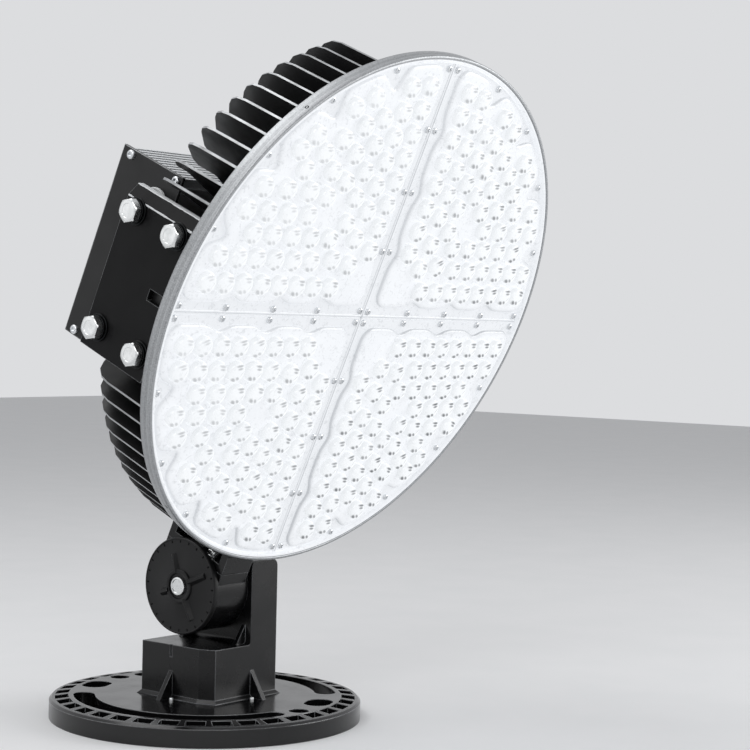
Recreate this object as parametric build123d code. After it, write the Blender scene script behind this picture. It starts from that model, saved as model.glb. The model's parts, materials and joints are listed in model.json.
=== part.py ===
from build123d import *
import os
from math import asin, cos, degrees, radians, sin, tan

# Round LED floodlight head on a graduated tilting knuckle, on a slotted round flange.
# Frame: origin at the centre of the flange's underside, +Z up, the lamp faces -Y and
# the dial faces -X. Lengths are in millimetres, angles in degrees.

# Shared fits
cut_overrun = 2.0
pin_clearance = 0.3
turning_gap = 0.5

# Mounting flange
flange_radius = 153.0
flange_wall_height = 19.7
flange_rim_chamfer = 2.5
rim_band_width = 19.5
web_rise_height = 2.1
pocket_count = 36
pocket_rim_distance = 12.3
pocket_length = 13.4
pocket_width = 18.5
pocket_depth = 6.0
slot_rim_distance = 14.5
slot_width = 21.0
slot_start_angle = -42.0
slot_sweep_angle = 118.0
small_hole_rim_distance = 11.5
small_hole_radius = 9.75
small_hole_angle = 90.0
large_hole_rim_distance = 16.0
large_hole_radius = 13.0
large_hole_stretch_length = 9.0
large_hole_angle = 112.0
large_hole_sides = 24

# Pedestal casting with one upright cheek
pedestal_left_width = 42.5
pedestal_right_width = 50.5
pedestal_half_depth = 46.5
pedestal_block_height = 52.2
corner_cut_depth = 16.5
corner_cut_width = 6.5
cheek_thickness = 37.0
cheek_cap_height = 25.0
cheek_corner_radius = 7.0
cheek_root_radius = 4.0
pivot_back_distance = 4.0
foot_flare_width = 3.5
rib_thickness = 5.0
foot_rib_height = 27.0
foot_rib_length = 17.0
inner_rib_height = 19.0
inner_rib_length = 13.0
inner_rib_edge_distance = 10.0
index_back_distance = 7.0
index_width = 3.0
index_length = 12.0
index_depth = 1.5

# Tilt knuckle
barrel_radius = 46.0
barrel_length = 43.0
barrel_floor_gap = 11.0
lug_cheek_gap = 5.5
lug_half_width = 40.0
lug_height = 34.0
dial_overhang = 1.5
dial_thickness = 6.0
dial_bevel = 1.5
dial_hub_radius = 17.0
hub_sides = 24
dial_relief_height = 3.0
dial_spoke_count = 4
dial_spoke_length = 31.0
dial_spoke_root_width = 9.0
dial_spoke_tip_width = 4.5
dial_spoke_angle = 15.0
pivot_bolt_radius = 7.7
pivot_head_radius = 9.5
pivot_head_height = 6.5
pivot_nut_width = 24.0
pivot_nut_height = 13.0
pivot_washer_radius = 18.0
pivot_washer_thickness = 3.0
pivot_washer_sides = 24

# Head at rest, and the foot that carries it
tilt_angle = 24.14
lens_ahead_length = 69.1
foot_rim_gap = 13.8
foot_wall_thickness = 8.0
foot_seat_length = 62.0
foot_shoulder_height = 12.0
foot_bolt_width = 12.0
foot_bolt_head_height = 6.5
foot_bolt_headroom_height = 4.0
foot_bolt_spread_width = 23.0
foot_bolt_spread_depth = 20.0
foot_bolt_ahead_length = 6.0
foot_fin_gap = 3.0

# Lens, light board and bezel
lens_radius = 250.0
lens_thickness = 6.0
board_thickness = 4.0
bezel_wall_thickness = 4.0
bezel_front_height = 2.0
bezel_lip_width = 2.0
bezel_depth = 11.0
edge_clearance = 0.4
cross_width = 26.0
cross_gap = 0.6
panel_corner_radius = 16.0

# Heat sink
fin_count = 84
fin_thickness = 2.2
fin_tip_length = 46.0
fin_depth = 86.0
fin_back_angle = 25.0
fin_setback_width = 2.0
fin_overhang_length = 24.0
fin_corner_radius = 30.0
fin_corner_facets = 3
fin_short_width = 30.0
fin_bare_angle = 19.0
heat_plate_thickness = 10.0
heat_hub_radius = 84.0
heat_hub_length = 62.0
side_pad_thickness = 41.0
side_pad_margin_height = 10.0

# Side brackets and their bolts
bracket_inset_width = 11.0
bracket_thickness = 6.0
bracket_upper_height = 66.0
bracket_lower_height = 71.0
bracket_bezel_gap = 2.0
bracket_length = 82.0
bracket_lip_height = 11.0
bracket_lip_width = 7.5
bracket_fin_gap = 3.0
bracket_notch_height = 10.0
bracket_notch_depth = 24.0
bolt_upper_edge_distance = 9.0
bolt_lower_edge_distance = 20.5
bolt_back_edge_distance = 15.5
bolt_front_edge_distance = 13.0
bracket_bolt_width = 19.0
bracket_bolt_head_height = 7.5
washer_radius = 12.0
washer_thickness = 4.0
washer_sides = 24

# Driver housing behind the heat sink
driver_side_gap = 40.0
driver_half_height = 88.0
driver_depth = 77.0
driver_rib_height = 8.0
driver_rib_thickness = 2.6
driver_rib_pitch = 6.4
driver_end_thickness = 3.0
driver_end_margin = 1.5
standoff_length = 10.0
standoff_width = 18.0
standoff_edge_distance = 13.0
driver_fin_gap = 8.0
gland_upper_distance = 31.0
gland_front_distance = 22.0
gland_radius = 11.0
gland_length = 20.0
gland_collar_width = 26.0
gland_collar_length = 7.0
gland_sides = 24

# Places worked out from the values above
web_radius = flange_radius - rim_band_width
web_height = flange_wall_height + web_rise_height
pedestal_top = web_height + pedestal_block_height
pivot_height = pedestal_top + barrel_floor_gap + barrel_radius
cheek_inner = pedestal_right_width - cheek_thickness
barrel_right = cheek_inner - turning_gap
barrel_left = barrel_right - barrel_length
lug_right = cheek_inner - lug_cheek_gap
lug_middle = (barrel_left + lug_right) / 2
lug_half_length = (lug_right - barrel_left) / 2
bezel_radius = lens_radius + bezel_wall_thickness
fin_tip_radius = bezel_radius - fin_setback_width
heat_plate_radius = fin_tip_radius - fin_overhang_length
heat_front = lens_thickness + board_thickness
heat_plate_back = heat_front + heat_plate_thickness
heat_back = heat_front + heat_hub_length
fin_back = bezel_depth + fin_depth
bracket_face = bezel_radius - bracket_inset_width
bracket_inner = bracket_face - bracket_thickness
bracket_front = bezel_depth + bracket_bezel_gap
bracket_back = bracket_front + bracket_length
driver_half_width = bracket_inner - driver_side_gap
driver_front = heat_back + standoff_length
driver_back = driver_front + driver_depth
foot_stack_height = foot_wall_thickness + foot_bolt_head_height + foot_bolt_headroom_height
lens_above_length = bezel_radius + foot_rim_gap + foot_stack_height + lug_height
flange_level = lug_height - lens_above_length
neck_level = flange_level + foot_wall_thickness
elbow_level = flange_level + foot_stack_height
neck_top = foot_seat_length - heat_plate_radius

# The head's own frame lies on the lens: across, up the lens and out of the lens
lens_normal = Vector(0, -cos(radians(tilt_angle)), -sin(radians(tilt_angle)))
head_up = Vector(0, -sin(radians(tilt_angle)), cos(radians(tilt_angle)))
pivot = Vector(0, pivot_back_distance, pivot_height)
lens_centre = pivot + head_up * lens_above_length + lens_normal * lens_ahead_length
head_plane = Plane(origin=lens_centre, x_dir=(1, 0, 0), z_dir=lens_normal)
nodes = {}


def at_head(shape):
    """Carries a shape from the head's own frame to the part's frame."""
    return head_plane * shape


def block(x_ends, y_ends, z_ends):
    """Box between pairs of ends along X, Y and Z, given in either order."""
    spans = [(min(ends), max(ends)) for ends in (x_ends, y_ends, z_ends)]
    middle = [(low + high) / 2 for low, high in spans]
    return Pos(*middle) * Box(*[high - low for low, high in spans])


def rod(radius, z_low, z_high):
    """Round bar on the local Z axis."""
    return Pos(0, 0, z_low) * extrude(Circle(radius), z_high - z_low)


def prism(width, sides, height):
    """Regular prism that stands on the local XY plane, its width measured across the flats."""
    return extrude(RegularPolygon(width / 2, sides, major_radius=False), height)


def pivot_rod(radius, x_low, x_high):
    """Round bar along X on the tilt axis."""
    axle = Plane(origin=(x_low, pivot_back_distance, pivot_height), x_dir=(0, 1, 0), z_dir=(1, 0, 0))
    return axle * rod(radius, 0, x_high - x_low)


def rib(length, height):
    """Triangular web over the local X axis with its right angle at the origin, centred on Y."""
    outline = Plane.XZ * make_face(Polyline((0, 0), (length, 0), (0, height), close=True))
    return extrude(outline, rib_thickness / 2, both=True)


# Mounting flange: a turned disc with a sloping rim band, a ring of square pockets in that
# band, two kidney slots, two round bolt holes and two oval cable holes
def mounting_flange():
    rim_shoulder = flange_wall_height - flange_rim_chamfer
    section = make_face(Polyline(
        (0, 0),
        (flange_radius, 0),
        (flange_radius, rim_shoulder),
        (flange_radius - flange_rim_chamfer, flange_wall_height),
        (web_radius, web_height),
        (0, web_height),
        close=True,
    ))
    disc = revolve(Plane.XZ * section, Axis.Z)
    pocket_radius = flange_radius - pocket_rim_distance
    pocket_ends = (pocket_radius - pocket_length / 2, pocket_radius + pocket_length / 2)
    pocket_floor = flange_wall_height - pocket_depth
    above = web_height + cut_overrun
    pocket = block(pocket_ends, (-pocket_width / 2, pocket_width / 2), (pocket_floor, above))
    cuts = [place * pocket for place in PolarLocations(0, pocket_count)]
    arc = CenterArc((0, 0), web_radius - slot_rim_distance, slot_start_angle, slot_sweep_angle)
    end = RegularPolygon(large_hole_radius, large_hole_sides, major_radius=False)
    small_hole_reach = web_radius - small_hole_rim_distance
    large_hole_reach = web_radius - large_hole_rim_distance
    oval = Rectangle(2 * large_hole_radius, large_hole_stretch_length)
    oval += [place * end for place in GridLocations(0, large_hole_stretch_length, 1, 2)]
    outlines = [
        SlotArc(arc, slot_width),
        Rot(0, 0, small_hole_angle) * Pos(small_hole_reach, 0) * Circle(small_hole_radius),
        Rot(0, 0, large_hole_angle) * Pos(large_hole_reach, 0) * oval,
    ]
    for outline in outlines:
        cutter = Pos(0, 0, -cut_overrun) * extrude(outline, above + cut_overrun)
        cuts += [cutter, Rot(0, 0, 180) * cutter]
    return disc - cuts


nodes["mounting_flange"] = mounting_flange()


# Pedestal: one casting with an L-shaped front, a cut corner, a flared foot, webs at its foot
# and inside the L, an index notch under the dial and a bore for the pivot bolt
def pedestal():
    cheek_top = pivot_height + cheek_cap_height
    front = make_face(Polyline(
        (-pedestal_left_width, web_height),
        (pedestal_right_width, web_height),
        (pedestal_right_width, cheek_top),
        (cheek_inner, cheek_top),
        (cheek_inner, pedestal_top),
        (-pedestal_left_width, pedestal_top),
        close=True,
    ))
    front = fillet(front.vertices().sort_by(Axis.Y)[-2:], cheek_corner_radius)
    root = front.vertices().sort_by_distance((cheek_inner, pedestal_top))[0]
    front = fillet(root, cheek_root_radius)
    casting = extrude(Plane.XZ * front, pedestal_half_depth, both=True)
    corner = make_face(Polyline(
        (-pedestal_left_width, -pedestal_half_depth),
        (-pedestal_left_width + corner_cut_width, -pedestal_half_depth),
        (-pedestal_left_width, -pedestal_half_depth + corner_cut_depth),
        close=True,
    ))
    casting -= extrude(corner, pedestal_top + cut_overrun)
    across = pedestal_right_width + pedestal_left_width
    middle = (pedestal_right_width - pedestal_left_width) / 2
    footprint = Pos(middle, 0) * Rectangle(across, 2 * pedestal_half_depth) - corner
    flare = offset(footprint, foot_flare_width, kind=Kind.INTERSECTION)
    casting += Pos(0, 0, web_height) * extrude(flare, foot_flare_width, taper=45)
    foot_rib = rib(foot_rib_length, foot_rib_height)
    inner_rib = rib(inner_rib_length, inner_rib_height)
    rib_line = pedestal_half_depth - inner_rib_edge_distance
    cheek_line = cheek_inner + rib_thickness / 2
    casting += [
        Pos(-pedestal_left_width, index_back_distance, web_height) * Rot(0, 0, 180) * foot_rib,
        Pos(pedestal_right_width, pivot_back_distance, web_height) * foot_rib,
        Pos(cheek_line, -pedestal_half_depth, web_height) * Rot(0, 0, -90) * foot_rib,
        Pos(cheek_line, pedestal_half_depth, web_height) * Rot(0, 0, 90) * foot_rib,
        Pos(cheek_inner, -rib_line, pedestal_top) * Rot(0, 0, 180) * inner_rib,
        Pos(cheek_inner, rib_line, pedestal_top) * Rot(0, 0, 180) * inner_rib,
    ]
    index_ends = (index_back_distance - index_width / 2, index_back_distance + index_width / 2)
    index = block(
        (-pedestal_left_width - cut_overrun, -pedestal_left_width + index_depth),
        index_ends,
        (pedestal_top - index_length, pedestal_top + cut_overrun),
    )
    bore = pivot_rod(pivot_bolt_radius, cheek_inner - cut_overrun, pedestal_right_width + cut_overrun)
    return casting - index - bore


nodes["pedestal"] = pedestal()


# Tilt arm: the knuckle's barrel, which rubs on the cheek, with a flat-topped lug
def tilt_arm():
    lean = Pos(0, pivot_back_distance, pivot_height) * Rot(tilt_angle, 0, 0)
    barrel_ends = (barrel_left, barrel_right)
    reach = max(barrel_radius, lug_half_width) + cut_overrun
    lug = lean * block((barrel_left, lug_right), (-lug_half_width, lug_half_width), (0, lug_height))
    arm = pivot_rod(barrel_radius, barrel_left, barrel_right) + lug
    arm -= lean * block(barrel_ends, (-reach, reach), (lug_height, reach + lug_height))
    return arm - pivot_rod(pivot_bolt_radius + pin_clearance, barrel_left - cut_overrun, cheek_inner)


nodes["tilt_arm"] = tilt_arm()


# Angle dial: a bevelled disc with a raised hub and tapered spokes, on the barrel's outer end
def angle_dial():
    disc = extrude(Circle(barrel_radius + dial_overhang), dial_thickness)
    disc = chamfer(disc.edges().sort_by(Axis.Z)[-1], dial_bevel)
    spoke = make_face(Polyline(
        (0, -dial_spoke_root_width / 2),
        (dial_spoke_length, -dial_spoke_tip_width / 2),
        (dial_spoke_length, dial_spoke_tip_width / 2),
        (0, dial_spoke_root_width / 2),
        close=True,
    ))
    relief = RegularPolygon(dial_hub_radius, hub_sides, major_radius=False)
    for place in PolarLocations(0, dial_spoke_count, start_angle=dial_spoke_angle):
        relief += place * spoke
    disc += Pos(0, 0, dial_thickness) * extrude(relief, dial_relief_height)
    top = dial_thickness + dial_relief_height + cut_overrun
    bore = prism(2 * (pivot_bolt_radius + pin_clearance), hub_sides, top + cut_overrun)
    disc -= Pos(0, 0, -cut_overrun) * bore
    end = Plane(origin=(barrel_left, pivot_back_distance, pivot_height), x_dir=(0, -1, 0), z_dir=(-1, 0, 0))
    return end * disc


nodes["angle_dial"] = angle_dial()


# Pivot bolt with its round head over the dial's hub, and a nut and washer on the cheek
head_seat = barrel_left - dial_thickness - dial_relief_height - turning_gap
nut_seat = pedestal_right_width + pivot_washer_thickness
bolt_end = nut_seat + pivot_nut_height
pivot_shank = pivot_rod(pivot_bolt_radius, head_seat, bolt_end)
head_end = head_seat - pivot_head_height
pivot_end = Plane(origin=(head_end, pivot_back_distance, pivot_height), x_dir=(0, 1, 0), z_dir=(1, 0, 0))
nodes["pivot_bolt"] = pivot_shank + pivot_end * prism(2 * pivot_head_radius, hub_sides, pivot_head_height)
nut_plane = Plane(origin=(nut_seat, pivot_back_distance, pivot_height), x_dir=(0, 1, 0), z_dir=(1, 0, 0))
nut = nut_plane * prism(pivot_nut_width, 6, pivot_nut_height)
washer_plane = nut_plane.offset(-pivot_washer_thickness)
washer = washer_plane * prism(2 * pivot_washer_radius, pivot_washer_sides, pivot_washer_thickness)
nut_bore = washer_plane * prism(2 * pivot_bolt_radius, hub_sides, pivot_washer_thickness + pivot_nut_height)
nodes["pivot_nut"] = nut + washer - nut_bore


# Head foot: an I-section casting that stands on the knuckle's flat top and leans forward to
# seat on the back of the heat sink's plate
def head_foot():
    foot_back = -lens_ahead_length - lug_half_width
    foot_front = -lens_ahead_length + lug_half_width
    side = Plane(origin=(lug_middle, 0, 0), x_dir=(0, 0, 1), z_dir=(-1, 0, 0))
    outline = make_face(Polyline(
        (foot_back, flange_level),
        (foot_back, elbow_level),
        (-heat_back, foot_shoulder_height - fin_tip_radius),
        (-heat_back, neck_top),
        (-heat_plate_back, neck_top),
        (-heat_plate_back, -heat_plate_radius),
        (foot_front, elbow_level),
        (foot_front, flange_level),
        close=True,
    ))
    hollow = offset(outline, -foot_wall_thickness, kind=Kind.INTERSECTION)
    casting = extrude(outline, lug_half_length, both=True)
    recess = Pos(0, 0, foot_wall_thickness / 2) * extrude(hollow, lug_half_length)
    return at_head(side * (casting - [recess, mirror(recess, Plane.XY)]))


nodes["head_foot"] = head_foot()


def foot_bolts():
    """Four hex heads on the foot's lower wall, beside its web."""
    depth = foot_bolt_ahead_length - lens_ahead_length
    level = Plane(origin=(lug_middle, neck_level, depth), x_dir=(1, 0, 0), z_dir=(0, 1, 0))
    places = GridLocations(foot_bolt_spread_width, foot_bolt_spread_depth, 2, 2)
    heads = [at_head(level * place * prism(foot_bolt_width, 6, foot_bolt_head_height)) for place in places]
    return Compound(children=heads)


nodes["foot_bolts"] = foot_bolts()


# Heat sink: a plate and a hub with thin radial fins. Each fin has a round outer corner, in short
# flats, and a back edge that slopes away from it. The fins at the top are short, and none stand
# beside the bracket pads or the foot. A pocket in their backs clears the driver housing.
def heat_fin(tip_radius):
    corner_x = tip_radius - fin_corner_radius
    corner_z = -bezel_depth - fin_tip_length
    facet_turn = radians(90 - fin_back_angle) / fin_corner_facets
    turns = [facet_turn * step for step in range(fin_corner_facets + 1)]
    corner = [(corner_x + fin_corner_radius * cos(t), corner_z - fin_corner_radius * sin(t)) for t in turns]
    slope_end = corner[-1][0] - (fin_back + corner[-1][1]) / tan(radians(fin_back_angle))
    root = heat_hub_radius - fin_thickness
    outline = Polyline(
        (root, -fin_back),
        (root, -bezel_depth),
        (tip_radius, -bezel_depth),
        *corner,
        (slope_end, -fin_back),
        close=True,
    )
    return extrude(Plane.XZ * make_face(outline), fin_thickness / 2, both=True)


def heat_sink():
    bracket_reach = max(bracket_upper_height + bracket_lip_height, bracket_lower_height) + bracket_fin_gap
    side_sector = degrees(asin(bracket_reach / fin_tip_radius))
    neck_reach = abs(lug_middle) + lug_half_length + foot_fin_gap
    foot_sector = max(fin_bare_angle, degrees(asin(neck_reach / -neck_top)))
    long_fin = heat_fin(fin_tip_radius)
    short_fin = heat_fin(fin_tip_radius - fin_short_width)
    fins = []
    for number in range(fin_count):
        angle = number * 360 / fin_count
        from_side = abs((angle + 90) % 180 - 90)
        fin = short_fin if abs(angle - 90) < fin_bare_angle else long_fin
        if from_side > side_sector and abs(angle - 270) > foot_sector:
            fins.append(Rot(0, 0, angle) * fin)
    body = rod(heat_hub_radius, -heat_back, -heat_front)
    body += rod(heat_plate_radius, -heat_plate_back, -heat_front)
    body += fins
    half_width = driver_half_width + driver_end_thickness + driver_fin_gap
    half_height = driver_half_height + driver_end_margin + driver_fin_gap
    pocket_ends = (-fin_back - cut_overrun, driver_fin_gap - driver_front)
    body -= block((-half_width, half_width), (-half_height, half_height), pocket_ends)
    pad_low = side_pad_margin_height - bracket_lower_height
    pad_high = bracket_upper_height - side_pad_margin_height
    for side in (-1, 1):
        across = (side * (bracket_inner - side_pad_thickness), side * bracket_inner)
        body += block(across, (pad_low, pad_high), (-heat_back, -bracket_front))
    return at_head(body)


nodes["heat_sink"] = heat_sink()


# Bezel: a turned ring round the lens with a small lip over its edge
def bezel_ring():
    bore_radius = lens_radius + edge_clearance
    section = make_face(Polyline(
        (bore_radius, -bezel_depth),
        (bezel_radius, -bezel_depth),
        (bezel_radius, bezel_front_height),
        (lens_radius - bezel_lip_width, bezel_front_height),
        (lens_radius - bezel_lip_width, 0),
        (bore_radius, 0),
        close=True,
    ))
    return at_head(revolve(Plane.XZ * section, Axis.Z))


nodes["bezel_ring"] = bezel_ring()
nodes["light_board"] = at_head(rod(lens_radius, -heat_front, -lens_thickness))


# Lens: four quadrant panels with round inner corners, and a low cross strip between them
def lens_panel(quarter):
    span = lens_radius - cross_width / 2
    middle = cross_width / 2 + span / 2
    quadrant = Pos(middle, middle) * Rectangle(span, span)
    inner = quadrant.vertices().sort_by_distance((0, 0))[0]
    outline = fillet(inner, panel_corner_radius) & Circle(lens_radius)
    panel = Pos(0, 0, -lens_thickness) * extrude(outline, lens_thickness)
    return at_head(Rot(0, 0, 90 * quarter) * panel)


for quarter, name in enumerate(("right_upper", "left_upper", "left_lower", "right_lower")):
    nodes["lens_panel_" + name] = lens_panel(quarter)

strip_width = cross_width - 2 * cross_gap
strip_outline = Rectangle(2 * lens_radius, strip_width) + Rectangle(strip_width, 2 * lens_radius)
strip = extrude(strip_outline & Circle(lens_radius), lens_thickness / 2)
nodes["lens_cross"] = at_head(Pos(0, 0, -lens_thickness) * strip)


# Side brackets: bent plates with a leaning upper lip and a notch in the front edge
def side_bracket():
    lip_top = bracket_upper_height + bracket_lip_height
    outline = make_face(Polyline(
        (bracket_inner, -bracket_lower_height),
        (bracket_face, -bracket_lower_height),
        (bracket_face, bracket_upper_height),
        (bracket_face - bracket_lip_width, lip_top),
        (bracket_inner - bracket_lip_width, lip_top),
        (bracket_inner, bracket_upper_height),
        close=True,
    ))
    plate = Pos(0, 0, -bracket_back) * extrude(outline, bracket_length)
    notch = block(
        (bracket_inner - cut_overrun, bracket_face + cut_overrun),
        (-bracket_notch_height / 2, bracket_notch_height / 2),
        (-bracket_front - bracket_notch_depth, -bracket_front + cut_overrun),
    )
    return plate - notch


def bracket_bolts():
    """Four hex bolts on round washers, standing on the right-hand bracket's face."""
    outward = Plane(origin=(bracket_face, 0, 0), x_dir=(0, 1, 0), z_dir=(1, 0, 0))
    head = Pos(0, 0, washer_thickness) * prism(bracket_bolt_width, 6, bracket_bolt_head_height)
    bolt = prism(2 * washer_radius, washer_sides, washer_thickness) + head
    upper = bracket_upper_height - bolt_upper_edge_distance
    lower = bolt_lower_edge_distance - bracket_lower_height
    back = bolt_back_edge_distance - bracket_back
    front = -bracket_front - bolt_front_edge_distance
    return [outward * Pos(height, depth, 0) * bolt for height in (upper, lower) for depth in (back, front)]


nodes["side_bracket_right"] = at_head(side_bracket())
nodes["side_bracket_left"] = at_head(mirror(side_bracket(), Plane.YZ))
right_bolts = bracket_bolts()
left_bolts = [mirror(bolt, Plane.YZ) for bolt in right_bolts]
nodes["bracket_bolts_right"] = Compound(children=[at_head(bolt) for bolt in right_bolts])
nodes["bracket_bolts_left"] = Compound(children=[at_head(bolt) for bolt in left_bolts])


# Driver housing: an extruded box with cooling ribs on two sides, closed by end plates and
# held off the heat sink's hub by hex spacers
def driver_housing():
    section = Rectangle(driver_depth, 2 * (driver_half_height - driver_rib_height))
    rib_total = int((driver_depth - driver_rib_thickness) / driver_rib_pitch) + 1
    bar = Rectangle(driver_rib_thickness, 2 * driver_half_height)
    section += [place * bar for place in GridLocations(driver_rib_pitch, 0, rib_total, 1)]
    middle = -(driver_front + driver_back) / 2
    side = Plane(origin=(0, 0, middle), x_dir=(0, 0, -1), z_dir=(1, 0, 0))
    return at_head(side * extrude(section, driver_half_width, both=True))


def driver_end_plate(side):
    half_height = driver_half_height + driver_end_margin
    return at_head(block(
        (side * driver_half_width, side * (driver_half_width + driver_end_thickness)),
        (-half_height, half_height),
        (-driver_back - driver_end_margin, -driver_front),
    ))


def driver_standoffs():
    places = PolarLocations(heat_hub_radius - standoff_edge_distance, 4, start_angle=45)
    spacer = Pos(0, 0, -driver_front) * prism(standoff_width, 6, standoff_length)
    return Compound(children=[at_head(place * spacer) for place in places])


nodes["driver_housing"] = driver_housing()
nodes["driver_end_plate_left"] = driver_end_plate(-1)
nodes["driver_end_plate_right"] = driver_end_plate(1)
nodes["driver_standoffs"] = driver_standoffs()


# Cable gland: a hex collar and a round cap on the dial-side end plate
def cable_gland():
    wall = -driver_half_width - driver_end_thickness
    height = driver_half_height - gland_upper_distance
    outward = Plane(
        origin=(wall, height, -driver_front - gland_front_distance),
        x_dir=(0, 1, 0),
        z_dir=(-1, 0, 0),
    )
    collar = prism(gland_collar_width, 6, gland_collar_length)
    cap = prism(2 * gland_radius, gland_sides, gland_length)
    return at_head(outward * (collar + cap))


nodes["cable_gland"] = cable_gland()

os.makedirs("parts", exist_ok=True)
for name, solid in nodes.items():
    export_step(solid, "parts/" + name + ".step")
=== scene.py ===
import json

import bmesh
import bpy
import numpy as np
from mathutils import Matrix, Vector


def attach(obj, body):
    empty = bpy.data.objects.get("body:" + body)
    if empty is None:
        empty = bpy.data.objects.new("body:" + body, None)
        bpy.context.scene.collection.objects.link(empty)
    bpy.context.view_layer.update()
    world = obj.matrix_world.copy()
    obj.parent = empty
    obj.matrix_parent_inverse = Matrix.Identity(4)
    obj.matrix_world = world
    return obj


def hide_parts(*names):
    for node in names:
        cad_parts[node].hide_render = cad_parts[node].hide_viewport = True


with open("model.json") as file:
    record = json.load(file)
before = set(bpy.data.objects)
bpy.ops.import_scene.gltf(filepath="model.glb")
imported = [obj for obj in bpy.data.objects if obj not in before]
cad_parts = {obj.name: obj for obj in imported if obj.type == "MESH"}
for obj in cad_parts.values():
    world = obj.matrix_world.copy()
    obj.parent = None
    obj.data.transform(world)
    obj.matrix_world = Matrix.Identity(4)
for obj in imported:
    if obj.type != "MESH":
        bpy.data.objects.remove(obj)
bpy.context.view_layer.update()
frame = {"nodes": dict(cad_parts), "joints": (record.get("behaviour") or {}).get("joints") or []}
scene = bpy.context.scene

# View. The camera stands where the photograph was taken, low and well to the dial side. Its shift is
# only what the photograph's framing needs.
camera_place = (-1.3776, -1.3123, 0.3876)
camera_yaw, camera_pitch, camera_roll = np.radians((-50.91, 1.825, 1.305))
camera_data = bpy.data.cameras.new("photo_camera")
camera_data.sensor_width = 36.0
camera_data.lens = 92.62
camera_data.shift_x = 0.0142
camera_data.shift_y = 0.0172
camera = bpy.data.objects.new("photo_camera", camera_data)
camera.matrix_world = (
    Matrix.Translation(camera_place)
    @ Matrix.Rotation(camera_yaw, 4, "Z")
    @ Matrix.Rotation(np.pi / 2 - camera_pitch, 4, "X")
    @ Matrix.Rotation(camera_roll, 4, "Z")
)
scene.collection.objects.link(camera)
scene.camera = camera
scene.view_settings.view_transform = "Standard"


# Light. Four large soft lamps and a pale room light the black castings at a plain level. Shiny metal
# mirrors the same pale wall that the camera sees, and a dimmer glow lights the rest.
def linear(code):
    """Turns an sRGB hex code into linear RGBA: each channel c becomes ((c + 0.055) / 1.055) ** 2.4, or
    c / 12.92 where it is very dark."""
    channels = np.array([int(code[i:i + 2], 16) for i in (1, 3, 5)]) / 255
    low = channels / 12.92
    high = ((channels + 0.055) / 1.055) ** 2.4
    return (*np.where(channels <= 0.04045, low, high), 1.0)


def add(tree, kind, inputs=None, **settings):
    """Adds one shader node, sets its settings, and links or sets each input named or numbered."""
    node = tree.nodes.new(kind)
    for key, value in settings.items():
        setattr(node, key, value)
    for key, value in (inputs or {}).items():
        if isinstance(value, bpy.types.NodeSocket):
            tree.links.new(value, node.inputs[key])
        else:
            node.inputs[key].default_value = value
    return node


def lamp(name, place, target, width, watts):
    """Square soft lamp that looks at a target point, in metres."""
    data = bpy.data.lights.new(name, "AREA")
    data.size = width
    data.energy = watts
    holder = bpy.data.objects.new(name, data)
    aim = Vector(target) - Vector(place)
    holder.matrix_world = Matrix.Translation(place) @ aim.to_track_quat("-Z", "Y").to_matrix().to_4x4()
    holder.visible_camera = False
    scene.collection.objects.link(holder)


lamp("key_lamp", (-1.9, -1.1, 1.9), (0, -0.1, 0.35), width=1.6, watts=17)
lamp("front_lamp", (2.0, -2.1, 1.0), (0, -0.1, 0.25), width=1.8, watts=36)
lamp("top_lamp", (-0.6, 0.7, 2.4), (0, 0, 0.35), width=1.4, watts=14)
lamp("side_lamp", (-1.75, 1.25, 0.75), (-0.2, -0.1, 0.4), width=1.3, watts=2)

room = bpy.data.worlds.new("pale_room")
room.use_nodes = True
tree = room.node_tree
tree.nodes.clear()
ray = add(tree, "ShaderNodeLightPath").outputs
seen = add(tree, "ShaderNodeMath", {
    0: ray["Is Camera Ray"], 1: ray["Is Glossy Ray"]}, operation="MAXIMUM").outputs[0]
seen = add(tree, "ShaderNodeMath", {0: seen, 1: ray["Is Transmission Ray"]}, operation="MAXIMUM").outputs[0]
glow = add(tree, "ShaderNodeBackground", {"Color": linear("#e9eaec"), "Strength": 0.55}).outputs[0]
wall = add(tree, "ShaderNodeBackground", {"Color": linear("#dcdddf"), "Strength": 1.0}).outputs[0]
both = add(tree, "ShaderNodeMixShader", {0: seen, 1: glow, 2: wall}).outputs[0]
add(tree, "ShaderNodeOutputWorld", {0: both})
scene.world = room

# Floor. A pale studio floor in matt paint, which takes the object's shadow. It is stage, and not part
# of the object.
mm = 0.001
floor_width = 12.0


def finish_of(name):
    """New node material: returns it with its tree, Principled shader and Object coordinates."""
    made = bpy.data.materials.new(name)
    made.use_nodes = True
    tree = made.node_tree
    tree.nodes.clear()
    shader = add(tree, "ShaderNodeBsdfPrincipled")
    add(tree, "ShaderNodeOutputMaterial", {0: shader.outputs[0]})
    place = add(tree, "ShaderNodeTexCoord").outputs["Object"]
    return made, tree, shader, place


floor_mesh = bpy.data.meshes.new("studio_floor")
corners = np.array([(-1, -1, 0), (1, -1, 0), (1, 1, 0), (-1, 1, 0)]) * floor_width / 2
floor_mesh.from_pydata(corners.tolist(), [], [(0, 1, 2, 3)])
studio_floor = bpy.data.objects.new("studio_floor", floor_mesh)
scene.collection.objects.link(studio_floor)
# Matt paint scatters light evenly: pale, with broad faint blotches and hardly any gloss.
floor_paint, tree, shader, place = finish_of("matt_floor_paint")
blotch = add(tree, "ShaderNodeTexNoise", {"Vector": place, "Scale": 1 / (90 * mm), "Detail": 3.0}).outputs[0]
tint = add(tree, "ShaderNodeMix", {
    0: blotch, 6: linear("#eaebec"), 7: linear("#f0f0f1")}, data_type="RGBA").outputs[2]
tree.links.new(tint, shader.inputs["Base Color"])
shader.inputs["Roughness"].default_value = 0.8
shader.inputs["Specular IOR Level"].default_value = 0.1
floor_mesh.materials.append(floor_paint)


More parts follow.
